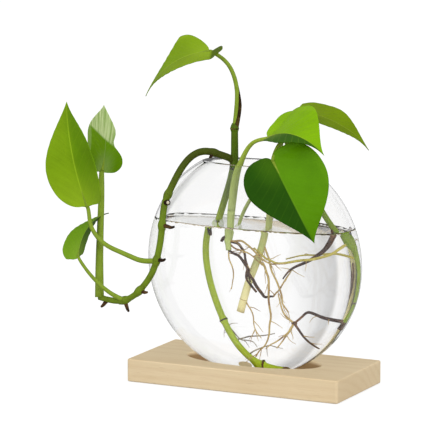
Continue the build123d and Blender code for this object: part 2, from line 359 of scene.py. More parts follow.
@dataclass(frozen=True)
class RootFinish:
    """Root or dry scar: two browns in long patches."""

    name: str
    pale: Colour
    dark: Colour
    dark_share: float = 0.5
    gloss: float = 0.5

    def make(self) -> bpy.types.Material:
        """Make the look of the root.

        Returns:
            The material.
        """
        material, s = new_material(self.name)
        patches = s.noise(s.place(), 0.12, 4.0, 0.6)
        grain = s.noise(s.place(), 1.6, 3.0)
        middle = 1.0 - self.dark_share
        brown = s.blend(patches.ease(middle - 0.12, middle + 0.12), self.pale, self.dark)
        brown = s.blend(grain.ease(0.55, 0.75) * 0.4, brown, self.dark)
        s.coat(brown, grain * 0.2 + self.gloss, 0.08, s.bump(grain, 0.5, 0.0003))
        return material


@dataclass(frozen=True)
class WoodFinish:
    """Pale sanded wood with its grain along the block, and painted shade inside the recess that holds the
    glass.
    """

    name: str = "pale_sanded_wood"
    light: Colour = shade(238, 216, 178)
    warm: Colour = shade(222, 194, 150)
    pore: Colour = shade(182, 146, 100)
    # painted shade: darker brown for the shadowed recess
    recess_shade: Colour = shade(150, 112, 62)
    recess_half: tuple[float, float] = (42.0, 19.0)

    def make(self) -> bpy.types.Material:
        """Make the look of the wood.

        Returns:
            The material.
        """
        material, s = new_material(self.name)
        wander = s.noise(s.place((0.012, 0.05, 0.05)), 1.0, 2.0) * 7.0
        _, deep, high = s.parts(s.place((1.0, 1.0, 1.0), (0.0, 34.0, 46.0)))
        radius = (deep * deep + high * high).maths("SQRT") + wander
        rings = abs((radius * 0.19).maths("FRACT") - 0.5) * 2.0
        fibre = s.noise(s.place((0.05, 1.6, 1.6)), 1.0, 4.0, 0.65)
        flecks = s.noise(s.place((0.16, 1.1, 1.1)), 1.0, 2.0).ease(0.6, 0.72)
        pores = s.noise(s.place((0.12, 2.8, 2.8)), 1.0, 2.0).ease(0.66, 0.76)
        cloud = s.noise(s.place((0.02, 0.05, 0.05)), 1.0, 2.0)
        wood = s.blend(rings.ease(0.35, 1.0) * 0.28, self.light, self.warm)
        wood = s.blend(fibre.ease(0.42, 0.72) * 0.35, wood, self.warm)
        wood = s.blend(cloud.ease(0.4, 0.7) * 0.22, wood, self.warm)
        wood = s.blend(flecks * 0.25, wood, self.warm)
        wood = s.blend(pores * 0.3, wood, self.pore)
        # painted shade inside the recess, from 2 to 12.6 mm up
        along, aside, level = s.parts(s.place())
        reach, depth = self.recess_half
        inside = abs(along).ease(reach, reach + 1.0, 1.0, 0.0) * abs(aside).ease(depth, depth + 1.0, 1.0, 0.0)
        inside = inside * level.ease(10.5, 12.6, 1.0, 0.0) * level.ease(2.0, 3.0)
        wood = s.blend(inside * 0.75, wood, self.recess_shade)
        s.coat(wood, fibre * 0.16 + 0.5, 0.3, s.bump(fibre * 0.6 - pores * 0.8, 0.22, 0.0003))
        return material


@dataclass(frozen=True)
class ClearFinish:
    """Clear glass or water, which lets light from lamps through."""

    name: str
    tint: Colour
    ior: float

    def make(self) -> bpy.types.Material:
        """Make the look of the glass or water.

        Returns:
            The material.
        """
        material, s = new_material(self.name)
        look = {"Base Color": self.tint, "Roughness": 0.0, "IOR": self.ior, "Transmission Weight": 1.0}
        body = s.add("ShaderNodeBsdfPrincipled", None, look)
        lamp_ray = s.add("ShaderNodeLightPath", output="Is Shadow Ray")
        soft_ray = s.add("ShaderNodeLightPath", output="Is Diffuse Ray")
        through = s.add("ShaderNodeBsdfTransparent", None, {"Color": self.tint})
        light = lamp_ray.maths("MAXIMUM", soft_ray)
        s.finish(s.add("ShaderNodeMixShader", None, {0: light, 1: body, 2: through}))
        return material


def show(
    name: str,
    mesh: bpy.types.Mesh,
    material: bpy.types.Material,
    body: Body,
    nodes: Sequence[str] = (),
) -> bpy.types.Object:
    """Put a finished mesh into the scene.

    Args:
        name: the piece's name.
        mesh: its mesh, in place.
        material: its finish.
        body: body that it rides on.
        nodes: CAD nodes that it stands for.

    Returns:
        The piece.
    """
    mesh.name = name
    mesh.materials.clear()
    mesh.materials.append(material)
    mesh.shade_smooth()
    piece = bpy.data.objects.new(name, mesh)
    bpy.context.scene.collection.objects.link(piece)
    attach(piece, body.value)
    if nodes:
        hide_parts(*nodes)
    LOG.info("%s: %d faces on %s", name, len(mesh.polygons), body.value)
    return piece


def to_mesh(shape: bmesh.types.BMesh, name: str) -> bpy.types.Mesh:
    """Mesh from a bmesh, with its faces outwards.

    Args:
        shape: the bmesh, which is used up.
        name: the mesh's name.

    Returns:
        The mesh.
    """
    bmesh.ops.recalc_face_normals(shape, faces=shape.faces)
    mesh = bpy.data.meshes.new(name)
    shape.to_mesh(mesh)
    shape.free()
    return mesh


@dataclass
class Strand:
    """One stem, stalk or root: points along its middle line, and widths spread evenly over them."""

    points: Sequence[Vector]
    widths: Sequence[float]

    def radius(self, index: int) -> float:
        """Radius at a point.

        Args:
            index: number of the point.

        Returns:
            The radius in millimetres.
        """
        place = index / max(1, len(self.points) - 1) * (len(self.widths) - 1)
        low = min(int(place), len(self.widths) - 1)
        high = min(low + 1, len(self.widths) - 1)
        share = place - low
        return 0.5 * (self.widths[low] * (1 - share) + self.widths[high] * share)

    def wander(self, amount: float, seed: int) -> "Strand":
        """The strand with an uneven line, as roots have.

        Args:
            amount: most that a point moves, in millimetres.
            seed: seed of the moves.

        Returns:
            The new strand, with a point more on each run.
        """
        dice = random.Random(seed)
        points = [self.points[0]]
        for before, after in zip(self.points, self.points[1:]):
            move = Vector(dice.uniform(-1.0, 1.0) for _ in range(3)) * amount * MM
            points += [(before + after) / 2 + move, after]
        return Strand(points, self.widths)


def collar(before: Vector, after: Vector, width: float, length: float) -> Strand:
    """Swelling on a stem, half way between two points of its route.

    Args:
        before: one point.
        after: the next.
        width: thickness at the middle, in millimetres.
        length: length along the stem, in millimetres.

    Returns:
        The swelling as a short strand.
    """
    middle = (before + after) / 2
    step = (after - before).normalized() * length * MM / 2
    ends = 0.62 * width
    points = [middle - step, middle - step / 3, middle + step / 3, middle + step]
    return Strand(points, (ends, width, width, ends))


def swellings(line: Sequence[Vector], runs: Sequence[int], width: float, length: float) -> list[Strand]:
    """Swellings in the middle of some runs of a stem's route."""
    return [collar(line[run], line[run + 1], width, length) for run in runs]


def sprout(start: Vector, widths: Sequence[float], *points: Point) -> Strand:
    """Strand from a start through the points of a route."""
    return Strand([start, *route(*points)], widths)


def uneven(strands: Sequence[Strand], amount: float, seed: int) -> list[Strand]:
    """The strands with uneven lines, each from its own seed."""
    return [strand.wander(amount, seed + index) for index, strand in enumerate(strands)]


def rootlets(hosts: Sequence[Strand], count: int, length: float, seed: int) -> list[Strand]:
    """Fine side roots that leave longer roots.

    Args:
        hosts: the longer roots.
        count: number of side roots.
        length: longest of them, in millimetres.
        seed: seed of their places.

    Returns:
        The side roots.
    """
    dice = random.Random(seed)
    sprouts = []
    for _ in range(count):
        host = dice.choice(hosts)
        run = dice.randrange(len(host.points) - 1)
        start = host.points[run].lerp(host.points[run + 1], 0.5)
        ahead = (host.points[run + 1] - host.points[run]).normalized()
        lean = Vector((dice.uniform(-1, 1), dice.uniform(-0.25, 0.25), dice.uniform(-1.1, 0.5)))
        aim = (ahead * 0.4 + lean).normalized()
        points = [start]
        for _ in range(ROOTLET_RUNS):
            turn = Vector((dice.uniform(-0.5, 0.5), dice.uniform(-0.15, 0.15), dice.uniform(-0.5, 0.4)))
            aim = (aim + turn).normalized()
            points.append(points[-1] + aim * dice.uniform(0.5, 1.0) * length / ROOTLET_RUNS * MM)
        sprouts.append(Strand(points, ROOTLET_WIDTHS))
    return sprouts


def tubes(strands: Sequence[Strand], sides: int = ROOT_SIDES, steps: int = 8) -> bpy.types.Mesh:
    """One mesh of round strands, each on a smooth line.

    Args:
        strands: stems or roots.
        sides: roundness of the tubes.
        steps: smoothness along them.

    Returns:
        The mesh, closed at its ends.
    """
    curve = bpy.data.curves.new("strands", "CURVE")
    curve.dimensions = "3D"
    curve.bevel_depth = MM
    curve.bevel_resolution = sides
    curve.resolution_u = steps
    curve.use_fill_caps = True
    for strand in strands:
        spline = curve.splines.new("NURBS")
        spline.points.add(len(strand.points) - 1)
        for index, (slot, point) in enumerate(zip(spline.points, strand.points)):
            slot.co = (*point, 1.0)
            slot.radius = strand.radius(index)
        spline.order_u = 3
        spline.use_endpoint_u = True
    holder = bpy.data.objects.new("strands", curve)
    mesh = bpy.data.meshes.new_from_object(holder)
    bpy.data.objects.remove(holder)
    bpy.data.curves.remove(curve)
    shape = bmesh.new()
    shape.from_mesh(mesh)
    bpy.data.meshes.remove(mesh)
    bmesh.ops.remove_doubles(shape, verts=shape.verts, dist=FINE_WELD)
    return to_mesh(shape, "strands")


def show_tubes(
    name: str,
    strands: Sequence[Strand],
    finish: Union[StemFinish, RootFinish],
    body: Body,
    nodes: Sequence[str] = (),
    sides: int = ROOT_SIDES,
) -> None:
    """Put strands into the scene as one piece."""
    show(name, tubes(strands, sides), finish.make(), body, nodes)


@dataclass
class Drum:
    """Half profile of the flattened glass: a shallow dome, a rounded edge and a flat band."""

    radius: float
    half_depth: float
    edge: float
    half_band: float

    def profile(self, steps: int) -> list[tuple[float, float]]:
        """Points (radius, depth) from the pole of one face to the pole of the other.

        Args:
            steps: number of points on each curve.

        Returns:
            The points.
        """
        ring = self.radius - self.edge
        crown = self.half_depth - self.half_band
        dome = (ring**2 + crown**2 - self.edge**2) / (2 * (crown - self.edge))
        hub = self.half_depth - dome
        lean = math.atan2(ring, self.half_band - hub)
        half = []
        for step in range(steps + 1):
            turn = lean * step / steps
            half.append((dome * math.sin(turn), hub + dome * math.cos(turn)))
        for step in range(1, steps + 1):
            turn = lean + (math.pi / 2 - lean) * step / steps
            half.append((ring + self.edge * math.sin(turn), self.half_band + self.edge * math.cos(turn)))
        return half + [(r, -d) for r, d in reversed(half)]

    def spun(self, steps: int, turns: int) -> bmesh.types.BMesh:
        """Closed skin of the drum, in metres.

        Args:
            steps: points on each curve of the profile.
            turns: steps around.

        Returns:
            The skin as a bmesh.
        """
        shape = bmesh.new()
        line = [shape.verts.new(spot(r, d, 0.0)) for r, d in self.profile(steps)]
        edges = [shape.edges.new(pair) for pair in zip(line, line[1:])]
        turn = {"cent": spot(0.0, 0.0, 0.0), "axis": (0.0, 1.0, 0.0), "angle": 2 * math.pi}
        bmesh.ops.spin(shape, geom=line + edges, steps=turns, use_merge=True, **turn)
        bmesh.ops.remove_doubles(shape, verts=shape.verts, dist=WELD)
        bmesh.ops.recalc_face_normals(shape, faces=shape.faces)
        return shape


def cut_above(shape: bmesh.types.BMesh, height: float) -> list[bmesh.types.BMEdge]:
    """Cut a skin level and drop what is above.

    Args:
        shape: the skin.
        height: height of the cut in millimetres from the middle of the glass.

    Returns:
        Edges of the open rim.
    """
    geometry = shape.verts[:] + shape.edges[:] + shape.faces[:]
    plane = {"plane_co": spot(0.0, 0.0, height), "plane_no": (0.0, 0.0, 1.0)}
    bmesh.ops.bisect_plane(shape, geom=geometry, dist=CUT_WELD, clear_outer=True, **plane)
    bmesh.ops.remove_doubles(shape, verts=shape.verts, dist=WELD)
    return [edge for edge in shape.edges if edge.is_boundary]


@dataclass
class Vase:
    """The blown glass and the water in it."""

    outer: Drum = field(default_factory=lambda: Drum(65.0, 23.5, 15.0, 1.5))
    wall: float = 2.5
    mouth: float = 57.0
    lip: float = 1.1
    fineness: tuple[int, int] = (26, 200)
    water_reach: float = 0.12
    water_fineness: tuple[int, int] = (24, 180)
    meniscus: float = 1.3
    meniscus_steps: tuple[tuple[float, float], ...] = ((0.35, 0.45), (0.5, 0.3), (0.8, 0.18), (1.1, 0.07))
    glass: ClearFinish = ClearFinish("clear_glass", WHITE, 1.46)
    water: ClearFinish = ClearFinish("still_water", WHITE, 1.333)
    surface: ClearFinish = ClearFinish("water_surface", (0.76, 0.77, 0.74), 1.333)

    def inner(self, wall: float) -> Drum:
        """Profile of the inside at a depth below the outer face."""
        o = self.outer
        return Drum(o.radius - wall, o.half_depth - wall, o.edge - wall, o.half_band)

    def build(self) -> None:
        """Make the glass and the water."""
        show("clear_glass_shell", self.shell(), self.glass.make(), Body.VASE, ["glass_vase"])
        pool = show("water", self.pool(), self.water.make(), Body.VASE)
        pool.data.materials.append(self.surface.make())
        top = (WATER_LEVEL + GLASS_CENTRE_Z - 1) * MM
        for face in pool.data.polygons:
            face.material_index = int(face.normal.z > 0.5 and face.center.z > top)

    def shell(self) -> bpy.types.Mesh:
        """Glass wall with a fire-polished lip.

        Returns:
            The mesh.
        """
        shape = self.outer.spun(*self.fineness)
        cut_above(shape, self.mouth)
        inside = self.inner(self.wall).spun(*self.fineness)
        cut_above(inside, self.mouth)
        bmesh.ops.reverse_faces(inside, faces=inside.faces)
        inner_mesh = bpy.data.meshes.new("inside")
        inside.to_mesh(inner_mesh)
        inside.free()
        shape.from_mesh(inner_mesh)
        bpy.data.meshes.remove(inner_mesh)
        rims = [edge for edge in shape.edges if edge.is_boundary]
        bmesh.ops.bridge_loops(shape, edges=rims)
        rims = [edge for edge in rims if edge.is_valid]
        look = {"affect": "EDGES", "segments": 5, "profile": 0.5, "clamp_overlap": True, "material": -1}
        bmesh.ops.bevel(shape, geom=rims, offset=self.lip * MM, offset_type="OFFSET", **look)
        mesh = bpy.data.meshes.new("shell")
        shape.to_mesh(mesh)
        shape.free()
        return mesh

    def pool(self) -> bpy.types.Mesh:
        """Water with its level top, drawn up a little where it meets the glass.

        Returns:
            The mesh.
        """
        inner = self.inner(self.wall - self.water_reach)
        shape = inner.spun(*self.water_fineness)
        rim = cut_above(shape, WATER_LEVEL + self.meniscus)
        half_length = math.sqrt(inner.radius**2 - (WATER_LEVEL + self.meniscus) ** 2)
        for inset, drop in self.meniscus_steps:
            grown = bmesh.ops.extrude_edge_only(shape, edges=rim)["geom"]
            verts = [item for item in grown if isinstance(item, bmesh.types.BMVert)]
            rim = [item for item in grown if isinstance(item, bmesh.types.BMEdge)]
            narrow = (1 - inset / half_length, 1 - inset / inner.half_depth, 1.0)
            bmesh.ops.scale(shape, verts=verts, vec=narrow)
            bmesh.ops.translate(shape, verts=verts, vec=(0.0, 0.0, -drop * self.meniscus * MM))
        bmesh.ops.contextual_create(shape, geom=rim)
        return to_mesh(shape, "pool")


# Shape of the blades, in shares of their width and length
LOBE_SHARE = 0.34
WAIST_AT = 0.42
WAIST_LENGTH = 0.15
NOTCH_SHARE = 0.22
FULL_FOLD = 0.6
CURL_FROM = 0.7

# Waves of the margin, in radians along the blade, and the rise between the veins, in millimetres
RIPPLES = 13.0
RIPPLE_SHIFT = 1.7
QUILT = 0.1

# Rib below the blade: its places along the blade, and its widths and depths in millimetres
RIB_START = -0.02
RIB_SHARES = (0.0, 0.15, 0.35, 0.6, 0.85)
RIB_WIDTHS = (1.1, 0.8, 0.5, 0.25)
RIB_SINK = 0.35
STALK_SINK = 0.5


@dataclass(frozen=True)
class Half:
    """Outline of half a blade, in shares of the blade's width and length, and its share of the fold."""

    reach: float
    widest_at: float
    lobe_out: float
    lobe_back: float
    shoulder: float
    point: tuple[float, float]
    fold: float = 1.0
    waist: float = 0.0
    blunt: float = 0.6

    def outline(self, share: float) -> Vector:
        """Point of the margin.

        Args:
            share: from 0 at the back of the lobe to 1 at the tip.

        Returns:
            Place in shares of width and length.
        """
        lobe = Vector((self.lobe_out, -self.lobe_back))
        widest = Vector((self.reach, self.widest_at))
        tip = Vector((0.0, 1.0))
        if share < LOBE_SHARE:
            t = share / LOBE_SHARE
            near_lobe = lobe + Vector((self.blunt * (widest.x - lobe.x), 0.0))
            below = widest - Vector((0.0, 0.55 * (widest.y - lobe.y)))
            curve = (lobe, near_lobe, below, widest)
        else:
            t = (share - LOBE_SHARE) / (1.0 - LOBE_SHARE)
            near_tip = tip + Vector((self.point[0], -self.point[1]))
            curve = (widest, widest + Vector((0.0, self.shoulder)), near_tip, tip)
        s = 1.0 - t
        edge = s**3 * curve[0] + 3 * s * s * t * curve[1] + 3 * s * t * t * curve[2] + t**3 * curve[3]
        edge.x *= 1.0 - self.waist * math.exp(-(((edge.y - WAIST_AT) / WAIST_LENGTH) ** 2))
        return edge


@dataclass
class Blade:
    """Heart-shaped leaf blade, arched from its base to its tip and folded up along its rib."""

    base: Vector
    tip: Vector
    facing: Point
    width: float
    arch: float
    cup: float
    plus: Half
    minus: Half
    ripple: float = 0.35
    curl: float = 0.0
    crease: float = 0.6
    columns: int = 26
    rows: int = 64
    thick: float = 0.45

    def __post_init__(self) -> None:
        """Work out the blade's own frame."""
        self.length = (self.tip - self.base).length / MM
        along = (self.tip - self.base).normalized()
        across = along.cross(Vector(self.facing)).normalized()
        up = across.cross(along)
        self.place = Matrix.Translation(self.base) @ Matrix((across, along, up)).transposed().to_4x4()
        self.bend = (self.length**2 / 4 + self.arch**2) / (2 * self.arch)

    def flat(self, side: float, share: float) -> Vector:
        """Point of the flat blade.

        Args:
            side: from -1 at one margin to 1 at the other.
            share: from 0 at the stalk to 1 at the tip.

        Returns:
            Place in shares of width and length.
        """
        half = self.plus if side > 0 else self.minus
        rib = Vector((0.0, share))
        edge = half.outline(share)
        near = min(1.0, share / NOTCH_SHARE)
        near = near * near * (3 - 2 * near)
        first = rib + Vector((0.03, -0.9 * half.lobe_back - 0.01)).lerp((edge - rib) / 3, near)
        second = edge + Vector((-0.5 * half.lobe_out, 0.0)).lerp((rib - edge) / 3, near)
        t = abs(side)
        s = 1.0 - t
        point = s**3 * rib + 3 * s * s * t * first + 3 * s * t * t * second + t**3 * edge
        return Vector((math.copysign(point.x, side), point.y))

    def rise(self, x: float, y: float) -> float:
        """Height of the blade above its frame.

        Args:
            x: flat place across the blade, as a share of its width.
            y: flat place along it, as a share of its length.

        Returns:
            The height in millimetres.
        """
        half = self.plus if x > 0 else self.minus
        offset = (max(y, RIB_START) - 0.5) * self.length
        arch = math.sqrt(max(0.0, self.bend**2 - offset**2)) - self.bend + self.arch
        side = abs(x) / FULL_FOLD
        fold = self.cup * half.fold * (self.crease * side + (1 - self.crease) * side * side)
        wave = self.ripple * side**2 * math.sin(RIPPLES * y + (0.0 if x > 0 else RIPPLE_SHIFT))
        path = y - VEIN_SWEEP * abs(x) + VEIN_CURVE * x * x
        raised = min(1.0, side * 3) * (1 - min(1.0, side) ** 3)
        quilt = QUILT * math.sin(2 * math.pi * VEIN_PAIRS * path) * raised
        tip = -self.curl * (max(0.0, y - CURL_FROM) / (1.0 - CURL_FROM)) ** 2
        return arch + fold + wave + quilt + tip

    def crest(self, share: float, sink: float = 0.0) -> Vector:
        """Point on the rib at a share of the length, in metres, a little below the blade if asked."""
        return self.place @ (Vector((0.0, share * self.length, self.rise(0.0, share) - sink)) * MM)

    def mesh(self) -> bpy.types.Mesh:
        """The blade with its map.

        Returns:
            The mesh.
        """
        shape = bmesh.new()
        layer = shape.loops.layers.uv.new("blade")
        grid = bmesh.ops.create_grid(shape, x_segments=2 * self.columns, y_segments=self.rows, size=1.0)
        flats = {}
        for vert in grid["verts"]:
            flat = self.flat(vert.co.x, (vert.co.y + 1.0) / 2)
            flats[vert] = flat
            height = self.rise(flat.x, flat.y)
            vert.co = self.place @ (Vector((flat.x * self.width, flat.y * self.length, height)) * MM)
        for face in shape.faces:
            for loop in face.loops:
                flat = flats[loop.vert]
                loop[layer].uv = (flat.x + 0.5, (flat.y + MAP_FOOT) / (1.0 + MAP_FOOT))
        bmesh.ops.dissolve_degenerate(shape, dist=FINE_WELD, edges=shape.edges)
        bmesh.ops.solidify(shape, geom=shape.faces[:], thickness=self.thick * MM)
        return to_mesh(shape, "blade")


@dataclass
class LeafPiece:
    """A leaf with its stalk, which stands for one CAD node."""

    node: str
    body: Body
    blade: Blade
    stalk: Strand
    finish: LeafFinish
    stem: StemFinish

    def build(self) -> None:
        """Make the blade and the stalk."""
        show(self.node + "_blade", self.blade.mesh(), self.finish.make(), self.body, [self.node])
        rib = [self.blade.crest(share, RIB_SINK) for share in RIB_SHARES]
        strands = [
            Strand([*self.stalk.points, self.blade.crest(RIB_START, STALK_SINK), rib[0]], self.stalk.widths),
            Strand(rib, (self.stalk.widths[-1], *RIB_WIDTHS)),
        ]
        show_tubes(self.node + "_stalk", strands, self.stem, self.body)


# Finishes of the leaves, stems and roots
# In each leaf finish the first two greens are the plus and minus halves; where they differ, the darker is
# painted shade
BRIGHT_LEAF = LeafFinish(
    "bright_leaf", shade(108, 152, 6), shade(130, 168, 14), shade(172, 208, 44),
    veins=0.1, glow=0.5, lit_shaded_blend=0.1,
)
UPRIGHT_LEAF = LeafFinish(
    "upright_leaf_green", shade(132, 168, 14), shade(136, 168, 20), shade(166, 196, 50), lobe_shade=0.85
)
YOUNG_LEAF = LeafFinish("young_leaf", shade(58, 104, 4), shade(134, 186, 2), shade(164, 204, 40))
SMALL_LEAF = LeafFinish("small_leaf", shade(50, 84, 4), shade(114, 160, 14), shade(160, 194, 70))
SHADED_HALF_LEAF = LeafFinish(
    "shaded_half_leaf", shade(38, 84, 0), shade(92, 148, 2), shade(110, 162, 20),
    gloss=0.38, veins=0.06, glow=0.0,
)
STREAKED_LEAF = LeafFinish(
    "streaked_leaf", shade(108, 156, 2), shade(106, 150, 6), shade(200, 216, 156),
    veins=0.05, streaks=1.0, glow=0.0,
)
OLIVE_LEAF = LeafFinish("olive_leaf", shade(116, 144, 2), shade(118, 147, 4), shade(150, 168, 60), veins=0.08)

VINE = StemFinish("vine_stem", shade(116, 142, 30), shade(72, 86, 12), shade(64, 58, 20), 95.0, 128.0)
WET_STEM = StemFinish(
    "wet_stem", shade(174, 198, 48), shade(118, 140, 66), shade(132, 150, 24),
    85.0, 112.0, 0.12, 0.5, 0.03,
)
SHOOT = StemFinish("shoot_stem", shade(74, 101, 7), shade(84, 112, 10), shade(60, 62, 16))
STALK = StemFinish("green_stalk", shade(132, 156, 44), shade(140, 166, 50), shade(104, 122, 30))
PALE_STALK = StemFinish(
    "pale_stalk", shade(196, 212, 130), shade(160, 184, 62), shade(150, 164, 70),
    100.0, 140.0, 0.12, 0.45, 0.06,
)
CUT_STEM = StemFinish(
    "cut_stem", shade(253, 244, 182), shade(196, 208, 128), shade(226, 206, 130),
    48.0, 84.0, 0.15, 0.5, 0.03,
)
BOWED = StemFinish(
    "bowed_stem_green", shade(142, 168, 34), shade(112, 142, 30), shade(116, 110, 26),
    60.0, 110.0, 0.3, 0.5, 0.05,
)
DRY = RootFinish("dry_scar", shade(118, 86, 50), shade(50, 36, 24), 0.55, 0.6)
SHEATH = RootFinish("dry_sheath_brown", shade(150, 122, 64), shade(52, 38, 18), 0.6, 0.6)
BROWN_ROOT = RootFinish("brown_root", shade(128, 88, 48), shade(58, 34, 22), 0.58)
TAN_ROOT = RootFinish("tan_root", shade(206, 180, 112), shade(150, 112, 62), 0.46)
GOLD_ROOT = RootFinish("gold_root", shade(206, 192, 92), shade(158, 140, 58), 0.4)
AMBER = RootFinish("amber_ring", shade(196, 160, 70), shade(150, 112, 48), 0.5)
GREY_ROOT = RootFinish("grey_root", shade(176, 164, 140), shade(120, 108, 92), 0.5)
SCAR = RootFinish("pale_scar", shade(236, 228, 204), shade(206, 190, 150), 0.3)


@dataclass
class TrailingCutting:
    """The cutting that lies on the floor of the glass, crosses its rim and trails down its left side."""

    fork: Vector = field(default_factory=lambda: spot(-15.5, 6.5, 56.5))
    shoot_top: Vector = field(default_factory=lambda: spot(-15.8, 7, 75))
    inner: list[Vector] = field(
        default_factory=lambda: route(
            (19, 5, -56.6), (10.5, 6, -57.6), (0.5, 7.5, -56.5), (-9, 9, -49.5), (-16, 10, -40.3),
            (-22.5, 11, -28), (-28.5, 12, -12), (-31, 12, 4), (-28.5, 11.5, 18), (-23.5, 10.5, 32),
            (-18, 8.3, 46),
        )
    )
    outer: list[Vector] = field(
        default_factory=lambda: route(
            (-21.5, 3, 59.3), (-30, -1.5, 62.3), (-36.5, -5, 59.8), (-41.2, -9.5, 53), (-44.6, -16, 42),
            (-46.9, -19.5, 34), (-47.1, -21.8, 26), (-47.2, -23.2, 15.6), (-48.5, -24, 6),
            (-51.2, -24.5, -4.6), (-56.3, -25.2, -13.3), (-64.5, -25.7, -22), (-75.3, -25.2, -25.9),
            (-87, -23.7, -24),
        )
    )
    sheath_height: float = 29.0

    def build(self) -> None:
        """Make the cutting."""
        self.stems()
        self.stubs()
        self.roots()
        self.sheath()
        self.leaves()

    def node(self, run: int) -> Vector:
        """Node in the middle of one run of the outer route."""
        return halfway(self.outer, run)

    def stems(self) -> None:
        """The stem in the water, the vine outside and the short upright shoot."""
        crook = (self.inner[-1] + self.fork) / 2
        wet = [Strand([*self.inner, crook], (4.0, 3.9, 3.8, 4.0)), *swellings(self.inner, (1, 4), 4.7, 7.0)]
        show_tubes("trailing_wet_stem", wet, WET_STEM, Body.VASE, ["trailing_stem"], STEM_SIDES)
        vine = [Strand([crook, self.fork, *self.outer], (4.0, 4.2, 4.0, 3.8, 3.7, 3.6, 3.4))]
        vine += swellings(self.outer, (0, 4, 6, 8, 10, 11), 5.0, 8.0)
        show_tubes("trailing_vine", vine, VINE, Body.VASE, sides=STEM_SIDES)
        shoot = [
            Strand([self.fork - UP * 4, self.fork, self.shoot_top], (4.4, 4.4, 4.0)),
            collar(self.shoot_top - UP * 3, self.shoot_top + UP * 2, 5.0, 6.0),
        ]
        show_tubes("upright_shoot", shoot, SHOOT, Body.VASE, sides=STEM_SIDES)

    def stubs(self) -> None:
        """Dry root stubs and dark rings at the nodes, and one pale scar."""
        aims = {
            0: ((-0.2, -0.7, -0.45), 4.4),
            6: ((1.0, -0.3, 0.05), 9.5),
            8: ((1.0, -0.3, 0.25), 7.0),
            10: ((1.0, -0.2, 0.0), 6.0),
            11: ((0.5, -0.1, -1.0), 7.0),
            12: ((-0.7, -0.1, -0.7), 6.0),
        }
        dry = []
        for run, (aim, length) in aims.items():
            root = self.node(run)
            step = Vector(aim).normalized() * length * MM
            bent = root + step * 0.75 - UP * 0.1 * length
            dry.append(Strand([root, root + step * 0.4, bent, root + step], (2.6, 2.3, 1.9, 1.2)))
        dry += swellings(self.outer, (4, 8, 11), 5.1, 1.1)
        dry += swellings(self.inner, (4,), 5.4, 1.6)
        dry += swellings(self.inner, (1,), 5.6, 2.0)
        dry.append(Strand([self.inner[0], self.inner[0].lerp(self.inner[1], 0.3)], (4.3, 4.1)))
        dry.append(Strand(route((-28.4, 11, 16), (-26.8, 8.6, 14.4), (-26.4, 8, 12.4)), (2.6, 2.6, 1.8)))
        scar = self.outer[5] - UP * 0.5
        outward = Vector((0.8175, -0.53, 0.15)).normalized() * MM
        dry.append(Strand([scar, scar + outward * 3.6], (3.2, 3.4)))
        show_tubes("root_stubs", dry, DRY, Body.VASE, ["trailing_stubs"])
        pale = [Strand([scar + outward * 3.2, scar + outward * 3.8], (2.0, 1.9))]
        show_tubes("pale_scar", pale, SCAR, Body.VASE)

    def roots(self) -> None:
        """Fine grey roots near the floor of the glass."""
        threads = [
            sprout(halfway(self.inner, 3), (0.9, 0.7, 0.5), (-4, 10.5, -42), (4, 9.5, -41), (12, 8.5, -39)),
            sprout(halfway(self.inner, 2), (0.9, 0.7, 0.5), (1, 10, -49), (8, 11, -46), (14, 10, -47)),
            sprout(halfway(self.inner, 4), (0.8, 0.6, 0.4), (-9, 9, -44.5), (-1, 8, -44.5), (2, 7, -47.5)),
        ]
        threads = uneven(threads, 0.6, 0)
        threads += rootlets(threads, 6, 9.0, 11)
        show_tubes("floor_roots", threads, GREY_ROOT, Body.VASE, ["trailing_roots"], FINE_SIDES)

    def sheath(self) -> None:
        """Dry sheath along the right of the upright leaf's stalk, with a dark ring at its foot."""
        aside = Vector((0.9, 0.4, 0.0)) * MM
        tip = self.shoot_top + Vector((0.5, 0.0, self.sheath_height)) * MM
        middle = [point + aside for point in route((-14.2, 7.4, 83), (-13.7, 7.6, 91))]
        strands = [
            Strand([self.shoot_top + aside * 0.5, *middle, tip], (3.6, 2.5, 2.2, 1.2)),
            collar(self.shoot_top - UP, self.shoot_top, 5.3, 2.2),
        ]
        show_tubes("dry_sheath", strands, SHEATH, Body.VASE, ["upright_sheath"])

